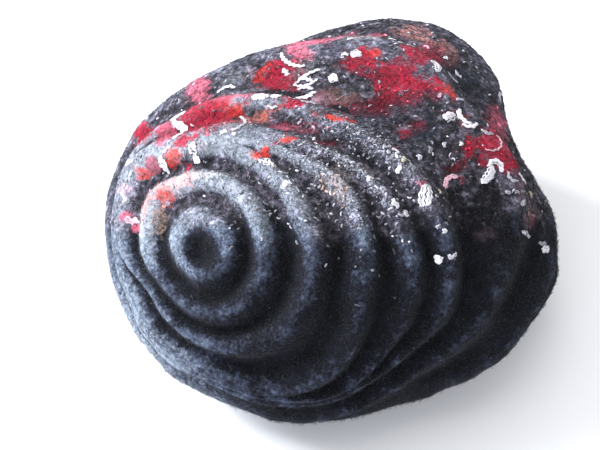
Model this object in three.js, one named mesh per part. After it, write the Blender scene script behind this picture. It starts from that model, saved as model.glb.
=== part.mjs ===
// A soft cap felted in one piece from wool: a bulging crown whose wall is drawn into long
// rounded folds that wind round a small dimple low on one side, like the turns of a snail.
// Millimetres. +Z is up, the rim lies flat on z = 0, and the dimple side faces -Y.
import * as THREE from "three";

// The plain cap, before it is folded.
const CROWN_HEIGHT = 152;      // top of the crown above the rim
const WIDEST_HEIGHT = 48;      // height of the widest line, where the crown turns under
const WIDEST_ANGLE = 70;       // angle from straight up at which a direction meets that line
const UNDER_DROP = 24;         // how steadily the wall drops from that line as it turns under
const HEM_DROP = 14;           // and how upright the hem stands that ends in the rim
const CROWN_LEAN_X = 6;        // how far the top stands off to the right of the head opening
const CROWN_LEAN_Y = 21;       // and how far to the back of it
const SHOULDER_OUT = 0.88;     // how full the shoulder is outward, 1 for an ellipse
const SHOULDER_UP = 1.02;      // and upward
const WALL = 3;                // thickness of the felt at a crest
const INNER_FOLDS = 0.9;       // depth of the folds on the inner face, as a share of the outer

// Half-widths of the cap at its widest line and of the rim, every 30 degrees round from +X.
const WIDEST = [158, 142, 152, 146, 143, 151, 138, 127, 118, 113, 114, 137];
const RIM = [88, 90, 93, 94, 93, 90, 88, 90, 93, 94, 93, 90];

// Soft lobes and dents: where (round from +X, up from the rim), how wide, how far out.
const LOBES = [
  { round: 45, up: 38, spread: 20, out: 19 },
  { round: 70, up: 45, spread: 20, out: 15 },
  { round: 5, up: 25, spread: 18, out: -5 },
  { round: 18, up: 35, spread: 11, out: -14 },
  { round: 225, up: 20, spread: 18, out: 5 },
];

// The folds.
const DIMPLE_ROUND = 216.4;    // where the dimple sits, degrees round from +X
const DIMPLE_UP = 53.2;        // and degrees up from the rim
const DIMPLE_DEPTH = 7;        // depth of the dimple below the first crest

// One row a fold, from the dimple outward. crest: the angle between the fold's crest and the
// dimple, every 30 degrees round the dimple, starting toward the right and going up over the
// crown. depth: how far the groove outside this crest is sunk. groove: degrees from the crest
// to the bottom of that groove, 0 for half way to the next crest.
const FOLDS = [
  { name: "first turn", depth: 7, groove: 0,
    crest: [5.6, 6.4, 7.3, 7.6, 8.3, 8, 6.8, 5.2, 4.4, 3.8, 4.1, 4.8] },
  { name: "second turn", depth: 9, groove: 0,
    crest: [15.2, 14.5, 14.2, 15.2, 16.2, 17.2, 18.8, 15.8, 12.6, 11.2, 12.6, 14.6] },
  { name: "third turn", depth: 10, groove: 0,
    crest: [26, 25.8, 22.8, 23, 23.8, 24.2, 30.5, 27.5, 17.3, 16.6, 19.6, 22.8] },
  { name: "fourth turn", depth: 8, groove: 0,
    crest: [43, 38, 34, 28, 25.4, 25.4, 31.7, 28.9, 24.5, 25, 26, 38] },
  { name: "fifth turn", depth: 6, groove: 0,
    crest: [50, 50, 41, 31, 27, 26.6, 32.9, 30.3, 26, 26.5, 28, 40] },
  { name: "sixth turn", depth: 10, groove: 4.5,
    crest: [52.5, 58, 48.5, 38, 34.2, 31.4, 34.3, 32.2, 27.5, 28, 30.2, 42] },
  { name: "outer turn", depth: 7, groove: 7,
    crest: [60.5, 67, 66, 63, 55, 50, 45.5, 40, 35.5, 35, 44, 53] },
  { name: "back roll", depth: 5.5, groove: 8,
    crest: [75, 83, 84, 84, 78, 69, 60, 50, 44, 43, 51, 61] },
  { name: "lower roll", depth: 3, groove: 0,
    crest: [83, 98, 104, 106, 102, 90, 75, 60, 50, 48, 54.5, 65.5] },
];
const STEEPEST = 0.95;         // a groove is never deeper than this share of its half-width
const NARROW = 5;              // degrees between two crests below which their groove fades out
const MM_A_DEGREE = 2.3;       // breadth of one degree on the felt, as seen from the dimple

// Density of the mesh.
const COLUMNS = 56;            // stations round the dimple
const ROWS_DOWN = 2;           // rows from a crest down to the bottom of its groove
const ROWS_UP = 3;             // and from there up to the next crest
const ROWS_TO_RIM = 3;         // rows from the last crest to the rim

const rad = (degrees) => (degrees * Math.PI) / 180;
const deg = (radians) => (radians * 180) / Math.PI;
const clamp = (x, low, high) => Math.min(high, Math.max(low, x));
const smooth = (x) => { const t = clamp(x, 0, 1); return t * t * (3 - 2 * t); };

// A closed smooth curve through values at equal steps of a full turn.
function round(values, degrees) {
  const n = values.length;
  const t = ((((degrees % 360) + 360) % 360) / 360) * n;
  const i = Math.floor(t), f = t - i;
  const at = (k) => values[(i + k + n) % n];
  const [a, b, c, d] = [at(-1), at(0), at(1), at(2)];
  return 0.5 * (2 * b + (c - a) * f + (2 * a - 5 * b + 4 * c - d) * f * f
    + (3 * b - a - 3 * c + d) * f * f * f);
}

function direction(roundDegrees, upDegrees) {
  const r = rad(roundDegrees), u = rad(upDegrees);
  return new THREE.Vector3(Math.cos(u) * Math.cos(r), Math.cos(u) * Math.sin(r), Math.sin(u));
}

// The plain cap: the point that lies in direction n (a unit vector with n.z >= 0).
function capPoint(n) {
  const across = Math.hypot(n.x, n.y);
  const fromTop = deg(Math.atan2(across, n.z));
  const around = deg(Math.atan2(n.y, n.x));
  const cx = across > 1e-9 ? n.x / across : 1, cy = across > 1e-9 ? n.y / across : 0;
  let reach, z;
  if (fromTop <= WIDEST_ANGLE) {
    const u = rad((90 * fromTop) / WIDEST_ANGLE);
    reach = round(WIDEST, around) * Math.sin(u) ** SHOULDER_OUT;
    z = WIDEST_HEIGHT + (CROWN_HEIGHT - WIDEST_HEIGHT) * Math.max(0, Math.cos(u)) ** SHOULDER_UP;
  } else {
    const s = Math.min(1, (fromTop - WIDEST_ANGLE) / (90 - WIDEST_ANGLE)), r = 1 - s;
    const widest = round(WIDEST, around);
    reach = widest + (round(RIM, around) - widest) * smooth(s);
    z = WIDEST_HEIGHT * r ** 3 + 3 * (WIDEST_HEIGHT - UNDER_DROP) * r * r * s
      + 3 * HEM_DROP * r * s * s;
  }
  const lean = Math.max(0, (z - WIDEST_HEIGHT) / (CROWN_HEIGHT - WIDEST_HEIGHT)) ** 1.5;
  const p = new THREE.Vector3(reach * cx + CROWN_LEAN_X * lean, reach * cy + CROWN_LEAN_Y * lean, z);
  for (const lobe of LOBES) {
    const away = deg(Math.acos(clamp(n.dot(direction(lobe.round, lobe.up)), -1, 1)));
    const push = lobe.out * Math.exp(-((away / lobe.spread) ** 2)) * smooth(z / WIDEST_HEIGHT);
    const outward = p.clone().sub(new THREE.Vector3(0, 0, 40)).normalize();
    p.addScaledVector(outward, push);
  }
  return p;
}

// Directions seen from the dimple: side runs level to the right of it, over runs up the crown.
const CENTRE = direction(DIMPLE_ROUND, DIMPLE_UP);
const SIDE = new THREE.Vector3(-CENTRE.y, CENTRE.x, 0).normalize();
const OVER = CENTRE.clone().cross(SIDE);

function fromDimple(angle, around) {
  const a = rad(angle), t = rad(around);
  return CENTRE.clone().multiplyScalar(Math.cos(a))
    .addScaledVector(SIDE, Math.sin(a) * Math.cos(t))
    .addScaledVector(OVER, Math.sin(a) * Math.sin(t));
}

// The angle from the dimple at which the rim lies, going off in the given direction round it.
function rimAngle(around) {
  return deg(Math.atan2(CENTRE.z, -Math.sin(rad(around)) * OVER.z));
}

// Where turn t (0 at the dimple, k at the k-th crest) lies round the dimple, and how far the
// felt is sunk there: a rounded groove that starts at one crest and ends at the next.
function fold(t, around) {
  const crest = (k) => (k === 0 ? 0 : k > FOLDS.length ? rimAngle(around)
    : round(FOLDS[k - 1].crest, around));
  const k = Math.min(Math.floor(t), FOLDS.length);
  const from = crest(k), gap = Math.max(0.1, crest(k + 1) - from);
  const part = t - k;
  if (k === 0) {
    return { angle: part * gap, sunk: DIMPLE_DEPTH * Math.cos((part * Math.PI) / 2) ** 2 };
  }
  const { depth, groove } = FOLDS[k - 1];
  const bottom = groove > 0 ? Math.min(groove, gap / 2) : gap / 2;
  const down = ROWS_DOWN / (ROWS_DOWN + ROWS_UP);
  const along = part < down ? (part / down) * bottom
    : bottom + ((part - down) / (1 - down)) * (gap - bottom);
  const room = STEEPEST * MM_A_DEGREE * bottom;
  const sunk = (smooth(gap / NARROW) * depth * room) / (depth ** 4 + room ** 4) ** 0.25;
  const share = along < bottom ? along / bottom : (gap - along) / (gap - bottom);
  return { angle: from + along, sunk: (sunk * (1 - Math.cos(Math.PI * share))) / 2 };
}

// Outward normal of the plain cap.
function capNormal(angle, around) {
  const step = 0.6;
  const a = capPoint(keepUp(fromDimple(angle - step, around)));
  const b = capPoint(keepUp(fromDimple(angle + step, around)));
  const side = step / Math.max(0.02, Math.sin(rad(angle)));
  const c = capPoint(keepUp(fromDimple(angle, around - side)));
  const d = capPoint(keepUp(fromDimple(angle, around + side)));
  return b.sub(a).cross(d.sub(c)).normalize();
}

function keepUp(n) {
  n.z = Math.max(n.z, 0);
  return n.normalize();
}

// A point of the folded cap: of its outer face, or of its inner one.
function feltPoint(t, around, inside) {
  const { angle, sunk } = fold(t, around);
  const n = keepUp(fromDimple(angle, around));
  const inward = inside ? WALL + INNER_FOLDS * sunk : sunk;
  return capPoint(n).addScaledVector(capNormal(Math.max(angle, 0.5), around), -inward);
}

// The closed shell.
function turns() {
  const list = [], rows = ROWS_DOWN + ROWS_UP;
  for (let k = 0; k < FOLDS.length; k++) {
    for (let i = 1; i <= rows; i++) list.push(k + i / rows);
  }
  for (let i = 1; i <= ROWS_TO_RIM; i++) list.push(FOLDS.length + i / ROWS_TO_RIM);
  return list;
}

// The points of one face, a row a turn value, with the dimple's own point kept apart. The last
// row is the rim, which is flat and as broad as the felt is thick.
function grid(inside) {
  const around = Array.from({ length: COLUMNS }, (_, j) => (360 * j) / COLUMNS);
  const rows = turns().map((t) => around.map((a) => feltPoint(t, a, inside)));
  rows[rows.length - 1] = around.map((a) => {
    const p = capPoint(keepUp(fromDimple(rimAngle(a), a)));
    const inward = inside ? WALL / Math.hypot(p.x, p.y) : 0;
    return new THREE.Vector3(p.x * (1 - inward), p.y * (1 - inward), 0);
  });
  return { centre: feltPoint(0, 0, inside), rows };
}

function shell(outer, inner) {
  const points = [], faces = [];
  const lay = ({ centre, rows }) => {
    const first = points.length;
    points.push(centre, ...rows.flat());
    return (i, j) => (i < 0 ? first : first + 1 + i * COLUMNS + ((j + COLUMNS) % COLUMNS));
  };
  const out = lay(outer), inn = lay(inner), last = outer.rows.length - 1;
  for (let j = 0; j < COLUMNS; j++) {
    faces.push([out(-1, 0), out(0, j), out(0, j + 1)], [inn(-1, 0), inn(0, j + 1), inn(0, j)]);
    for (let i = 0; i < last; i++) {
      faces.push([out(i, j), out(i + 1, j), out(i + 1, j + 1)],
        [out(i, j), out(i + 1, j + 1), out(i, j + 1)],
        [inn(i, j), inn(i + 1, j + 1), inn(i + 1, j)],
        [inn(i, j), inn(i, j + 1), inn(i + 1, j + 1)]);
    }
    faces.push([out(last, j), inn(last, j), inn(last, j + 1)],
      [out(last, j), inn(last, j + 1), out(last, j + 1)]);
  }
  const geometry = new THREE.BufferGeometry();
  geometry.setAttribute("position",
    new THREE.Float32BufferAttribute(points.flatMap((p) => [p.x, p.y, p.z]), 3));
  geometry.setIndex(faces.flat());
  geometry.computeVertexNormals();
  return geometry;
}

// The box round the cap is centred on the origin, so the rim lies round it a little off centre.
function centred(geometry) {
  geometry.computeBoundingBox();
  const { min, max } = geometry.boundingBox;
  return geometry.translate(-(min.x + max.x) / 2, -(min.y + max.y) / 2, 0);
}

const felt = new THREE.Mesh(centred(shell(grid(false), grid(true))),
  new THREE.MeshStandardMaterial({ color: 0x3a3d44, roughness: 1 }));
felt.name = "felt_shell";

const hat = new THREE.Group();
hat.name = "wool_hat";
hat.add(felt);

export default hat;
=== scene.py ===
import bpy
import math
import numpy as np
from mathutils import Matrix


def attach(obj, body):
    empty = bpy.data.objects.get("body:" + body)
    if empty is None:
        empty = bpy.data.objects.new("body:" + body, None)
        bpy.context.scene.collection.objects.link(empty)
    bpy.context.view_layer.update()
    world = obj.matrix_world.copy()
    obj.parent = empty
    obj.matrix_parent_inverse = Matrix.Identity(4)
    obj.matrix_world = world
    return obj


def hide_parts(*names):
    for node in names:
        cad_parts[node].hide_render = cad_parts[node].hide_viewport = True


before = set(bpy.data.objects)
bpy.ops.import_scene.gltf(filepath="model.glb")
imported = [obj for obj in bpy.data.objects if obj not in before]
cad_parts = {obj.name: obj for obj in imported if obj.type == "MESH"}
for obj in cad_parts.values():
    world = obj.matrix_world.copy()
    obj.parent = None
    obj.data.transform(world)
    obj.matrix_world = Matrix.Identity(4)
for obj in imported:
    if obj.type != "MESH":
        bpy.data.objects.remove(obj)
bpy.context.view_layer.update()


# The felt shell
# The hat is one piece of wet-felted wool, a bulging cap drawn in by hand into rounded folds
# that wind round a dimple low on one side. It has no seam, and the rim is the edge of the felt.

MM = 0.001
RIM_CENTRE = (-6.0, -20.1)       # middle of the head opening in the hat's box, mm
CROWN_HEIGHT, WIDEST_HEIGHT, WIDEST_ANGLE = 152, 48, 70
UNDER_DROP, HEM_DROP = 24, 14
LEAN = (6, 21)
SHOULDER_OUT, SHOULDER_UP = 0.88, 1.02
WALL, INNER_FOLDS = 3, 0.9
WIDEST = [158, 142, 152, 146, 143, 151, 138, 127, 118, 113, 114, 137]
RIM = [88, 90, 93, 94, 93, 90, 88, 90, 93, 94, 93, 90]
LOBES = [  # round, up, spread (degrees), out (mm)
    (45, 38, 20, 19), (70, 45, 20, 15), (5, 25, 18, -5), (18, 35, 11, -14), (225, 20, 18, 5)]
DIMPLE_ROUND, DIMPLE_UP, DIMPLE_DEPTH = 216.4, 53.2, 7
FOLDS = [  # depth (mm), groove (degrees, 0 for half way), crest (degrees) every 30 degrees round
    (7, 0, [5.6, 6.4, 7.3, 7.6, 8.3, 8, 6.8, 5.2, 4.4, 3.8, 4.1, 4.8]),
    (9, 0, [15.2, 14.5, 14.2, 15.2, 16.2, 17.2, 18.8, 15.8, 12.6, 11.2, 12.6, 14.6]),
    (10, 0, [26, 25.8, 22.8, 23, 23.8, 24.2, 30.5, 27.5, 17.3, 16.6, 19.6, 22.8]),
    (8, 0, [43, 38, 34, 28, 25.4, 25.4, 31.7, 28.9, 24.5, 25, 26, 38]),
    (6, 0, [50, 50, 41, 31, 27, 26.6, 32.9, 30.3, 26, 26.5, 28, 40]),
    (10, 4.5, [52.5, 58, 48.5, 38, 34.2, 31.4, 34.3, 32.2, 27.5, 28, 30.2, 42]),
    (7, 7, [60.5, 67, 66, 63, 55, 50, 45.5, 40, 35.5, 35, 44, 53]),
    (5.5, 8, [75, 83, 84, 84, 78, 69, 60, 50, 44, 43, 51, 61]),
    (3, 0, [83, 98, 104, 106, 102, 90, 75, 60, 50, 48, 54.5, 65.5])]
STEEPEST, MM_A_DEGREE, NARROW = 0.95, 2.3, 5   # steepest flank, and the gap of a full groove
DOWN_SHARE = 0.4                 # share of a turn's rows that run down to its groove
AXIS_STEP = 0.6                  # degrees to either side when the cap's own axes are measured
LUMPS = [(36, 1.6), (15, 1.0), (5, 0.3)]   # size and height of the lumps left by hand felting, mm


def soft_step(x):
    """Runs from 0 to 1 as 3x^2 - 2x^3, flat at both ends."""
    x = np.clip(x, 0, 1)
    return x * x * (3 - 2 * x)


def round_curve(values, degrees):
    """A closed Catmull-Rom curve through values set at equal steps of a full turn."""
    v = np.asarray(values, float)
    t = np.mod(degrees, 360) / 360 * len(v)
    i = np.floor(t).astype(int)
    f = t - i
    a, b, c, d = (v[(i + k) % len(v)] for k in (-1, 0, 1, 2))
    return 0.5 * (2 * b + (c - a) * f + (2 * a - 5 * b + 4 * c - d) * f ** 2
                  + (3 * b - a - 3 * c + d) * f ** 3)


def unit(v):
    """Vectors scaled to length one."""
    return v / np.linalg.norm(v, axis=-1, keepdims=True).clip(1e-12)


def direction(around, up):
    """The unit vector at a compass angle around from +X and a height angle up, in degrees."""
    a, u = np.radians(around), np.radians(up)
    return np.stack([np.cos(u) * np.cos(a), np.cos(u) * np.sin(a), np.sin(u) + 0 * a], -1)


def cap_point(n):
    """The plain cap in direction n: a superellipse shoulder from the crown's top out to the
    widest line, then a cubic Bezier that turns under and stands upright again at the rim, with
    the top leaning off centre and each lobe added as a Gaussian bump away from the middle."""
    across = np.hypot(n[..., 0], n[..., 1])
    safe = np.maximum(across, 1e-9)
    cx = np.where(across > 1e-9, n[..., 0] / safe, 1)
    cy = np.where(across > 1e-9, n[..., 1] / safe, 0)
    from_top = np.degrees(np.arctan2(across, n[..., 2]))
    compass = np.degrees(np.arctan2(n[..., 1], n[..., 0]))
    widest, rim = round_curve(WIDEST, compass), round_curve(RIM, compass)
    u = np.radians(90 * np.clip(from_top / WIDEST_ANGLE, 0, 1))
    s = np.clip((from_top - WIDEST_ANGLE) / (90 - WIDEST_ANGLE), 0, 1)
    r = 1 - s
    above = from_top <= WIDEST_ANGLE
    reach = np.where(above, widest * np.sin(u) ** SHOULDER_OUT,
                     widest + (rim - widest) * soft_step(s))
    rise = (CROWN_HEIGHT - WIDEST_HEIGHT) * np.cos(u).clip(0) ** SHOULDER_UP
    turn_under = (WIDEST_HEIGHT * r ** 3 + 3 * (WIDEST_HEIGHT - UNDER_DROP) * r * r * s
                  + 3 * HEM_DROP * r * s * s)
    z = np.where(above, WIDEST_HEIGHT + rise, turn_under)
    lean = ((z - WIDEST_HEIGHT) / (CROWN_HEIGHT - WIDEST_HEIGHT)).clip(0) ** 1.5
    p = np.stack([reach * cx + LEAN[0] * lean, reach * cy + LEAN[1] * lean, z], -1)
    for around, up, spread, out in LOBES:
        away = np.degrees(np.arccos(np.clip(n @ direction(around, up), -1, 1)))
        push = out * np.exp(-(away / spread) ** 2) * soft_step(z / WIDEST_HEIGHT)
        p = p + unit(p - np.array([0, 0, 40.0])) * push[..., None]
    return p


# The middle of the dimple as a direction, and the two axes that around is measured between.
CENTRE = direction(DIMPLE_ROUND, DIMPLE_UP)
SIDE = np.array([-CENTRE[1], CENTRE[0], 0]) / math.hypot(CENTRE[0], CENTRE[1])
OVER = np.cross(CENTRE, SIDE)


def from_dimple(angle, around):
    """The direction that lies angle degrees from the dimple, around degrees round it."""
    a, t = np.radians(angle)[..., None], np.radians(around)[..., None]
    n = CENTRE * np.cos(a) + np.sin(a) * (SIDE * np.cos(t) + OVER * np.sin(t))
    n[..., 2] = n[..., 2].clip(0)
    return unit(n)


def rim_angle(around):
    """The angle from the dimple at which a direction sinks to the level of the rim."""
    return np.degrees(np.arctan2(CENTRE[2], -np.sin(np.radians(around)) * OVER[2]))


def turn_after(k, around):
    """The crests from the dimple to the rim, and where the turn after crest k starts, how wide it
    is and where its groove lies in it, all in degrees. Turn 0 is the dimple's own slope."""
    crests = np.stack([0 * around] + [round_curve(c, around) for _, _, c in FOLDS]
                      + [rim_angle(around)])
    start = np.take_along_axis(crests, k[None], 0)[0]
    gap = (np.take_along_axis(crests, k[None] + 1, 0)[0] - start).clip(0.1)
    groove = np.array([0] + [g for _, g, _ in FOLDS], float)[k]
    return crests, start, gap, np.where(groove > 0, np.minimum(groove, gap / 2), gap / 2)


def angle_at(t, around):
    """The angle from the dimple of turn t, which is k on the k-th crest. A set share of a turn
    runs down to the groove and the rest up to the next crest."""
    k = np.clip(np.floor(t).astype(int), 0, len(FOLDS))
    _, start, gap, bottom = turn_after(k, around)
    part = t - k
    up = (part - DOWN_SHARE) / (1 - DOWN_SHARE)
    along = np.where(part < DOWN_SHARE, part / DOWN_SHARE * bottom, bottom + up * (gap - bottom))
    return start + np.where(k == 0, part * gap, along)


def fold(angle, around):
    """How far the felt is sunk at a place, a raised cosine from each crest to its groove and up
    again, and how high the place stands between the groove (0) and the crest (1)."""
    crests = turn_after(np.zeros(np.shape(angle), int), around)[0]
    k = (crests[1:-1] <= angle).sum(0)
    _, start, gap, bottom = turn_after(k, around)
    along = angle - start
    depth = np.array([0] + [d for d, _, _ in FOLDS], float)[k]
    room = STEEPEST * MM_A_DEGREE * bottom
    sunk = soft_step(gap / NARROW) * depth * room / (depth ** 4 + room ** 4).clip(1e-9) ** 0.25
    share = np.where(along < bottom, along / bottom, (gap - along) / (gap - bottom)).clip(0, 1)
    dip = (1 - np.cos(np.pi * share)) / 2
    dimple = np.cos((along / gap).clip(0, 1) * np.pi / 2) ** 2
    return (np.where(k == 0, DIMPLE_DEPTH * dimple, sunk * dip),
            np.where(k == 0, 1 - dimple, 1 - dip * soft_step(sunk / 4)))


def cap_axes(angle, around):
    """On the plain cap: the unit vectors away from the dimple, round it and out of the felt."""
    far, near = angle + AXIS_STEP, angle - AXIS_STEP
    wide = AXIS_STEP / np.sin(np.radians(angle)).clip(0.02)
    away = cap_point(from_dimple(far, around)) - cap_point(from_dimple(near, around))
    left = cap_point(from_dimple(angle, around + wide)) - cap_point(from_dimple(angle, around - wide))
    out = unit(np.cross(away, left))
    return unit(away), unit(np.cross(out, away)), out


def lattice_noise(p, size, seed):
    """Value noise from -1 to 1: random values on a cubic lattice of the given size, blended
    between the eight corners with the 3x^2 - 2x^3 step."""
    q = p / size
    base = np.floor(q).astype(np.int64)
    f = soft_step(q - base)
    total = 0
    for dx in (0, 1):
        for dy in (0, 1):
            for dz in (0, 1):
                h = ((base[..., 0] + dx) * 73856093 ^ (base[..., 1] + dy) * 19349663
                     ^ (base[..., 2] + dz) * 83492791 ^ seed * 2654435761) & 0xffffffff
                h = (h ^ (h >> 13)) * 1274126177 & 0xffffffff
                value = ((h ^ (h >> 16)) & 0xffff) / 32767.5 - 1
                total = total + value * (np.where(dx, f[..., 0], 1 - f[..., 0])
                                         * np.where(dy, f[..., 1], 1 - f[..., 1])
                                         * np.where(dz, f[..., 2], 1 - f[..., 2]))
    return total


def felt_points(angle, around, inside=False):
    """The folded cap: the plain cap moved in along its normal by the depth of the fold, with
    the slow lumps of hand-felted wool on its outer face, faded out toward the rim."""
    sunk = fold(angle, around)[0]
    cap = cap_point(from_dimple(angle, around))
    if inside:
        inward = WALL + INNER_FOLDS * sunk
    else:
        lumps = sum(high * lattice_noise(cap, size, size) for size, high in LUMPS)
        inward = sunk - lumps * soft_step(cap[..., 2] / 12)
    return cap - cap_axes(angle.clip(0.5), around)[2] * inward[..., None]


COLUMNS = 280                    # directions round the dimple
ROWS = [24, 34, 34, 34, 20, 24, 44, 40, 30, 16]   # rows in each turn of the outer face
INNER_ROWS = 4                   # rows in each turn of the inner face


def felt_grid(rows, inside):
    """A grid of one face of the shell: a row for each step of a turn, a column for each
    direction. Its last row is the edge of the rim."""
    t = np.concatenate([k + (np.arange(n) + 1) / n for k, n in enumerate(rows)])
    t[-1] -= 1e-9
    turns, around = np.meshgrid(t, np.arange(COLUMNS) * 360 / COLUMNS, indexing="ij")
    angle = angle_at(turns, around)
    p = felt_points(angle, around, inside)
    edge = cap_point(from_dimple(rim_angle(around[-1]), around[-1]))
    edge[:, 2] = 0
    if inside:
        edge[:, :2] *= 1 - WALL / np.linalg.norm(edge[:, :2], axis=1, keepdims=True)
    p[-1] = edge
    return p, angle, around


def into_box(p):
    """From millimetres about the rim's centre to metres in the hat's own frame."""
    return (p + np.array([RIM_CENTRE[0], RIM_CENTRE[1], 0])) * MM


def make_object(name, points, faces):
    """A smooth mesh object from an array of points in metres and a list of arrays of faces."""
    mesh = bpy.data.meshes.new(name)
    mesh.vertices.add(len(points))
    mesh.vertices.foreach_set("co", np.ascontiguousarray(points, np.float32).ravel())
    sizes = np.concatenate([np.full(len(f), f.shape[1]) for f in faces])
    loops = np.concatenate([f.ravel() for f in faces]).astype(np.int32)
    starts = np.concatenate([[0], np.cumsum(sizes)[:-1]]).astype(np.int32)
    mesh.loops.add(len(loops))
    mesh.loops.foreach_set("vertex_index", loops)
    mesh.polygons.add(len(sizes))
    mesh.polygons.foreach_set("loop_start", starts)
    mesh.update(calc_edges=True)
    mesh.validate()
    mesh.polygons.foreach_set("use_smooth", np.ones(len(mesh.polygons), bool))
    piece = bpy.data.objects.new(name, mesh)
    bpy.context.scene.collection.objects.link(piece)
    return piece


def quads(rows, columns, first, flip=False):
    """Quads between the points of a grid that closes round its columns."""
    i, j = np.meshgrid(np.arange(rows - 1), np.arange(columns), indexing="ij")
    k = (j + 1) % columns
    q = np.stack([i * columns + j, (i + 1) * columns + j, (i + 1) * columns + k, i * columns + k], -1)
    q = q.reshape(-1, 4) + first
    return q[:, ::-1] if flip else q


outer, outer_angle, outer_around = felt_grid(ROWS, False)
inner = felt_grid([INNER_ROWS] * len(ROWS), True)[0]
middle = np.array([0.0])
no, ni = len(outer) * COLUMNS, len(inner) * COLUMNS
points = np.concatenate([outer.reshape(-1, 3), inner.reshape(-1, 3),
                         felt_points(middle, middle), felt_points(middle, middle, True)])
j = np.arange(COLUMNS)
k = (j + 1) % COLUMNS
last_out, last_in = no - COLUMNS, no + ni - COLUMNS
felt = make_object("felt", into_box(points), [
    quads(len(outer), COLUMNS, 0), quads(len(inner), COLUMNS, no, True),
    np.stack([last_out + j, last_in + j, last_in + k, last_out + k], -1),
    np.stack([np.full(COLUMNS, no + ni), j, k], -1),
    np.stack([np.full(COLUMNS, no + ni + 1), no + k, no + j], -1)])
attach(felt, "root")
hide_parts("felt_shell")


def colour(hex_text):
    """An sRGB hex colour as linear red, green, blue and alpha."""
    c = np.array([int(hex_text[i:i + 2], 16) / 255 for i in (1, 3, 5)])
    c = np.where(c <= 0.04045, c / 12.92, ((c + 0.055) / 1.055) ** 2.4)
    return (*c, 1.0)


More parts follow.
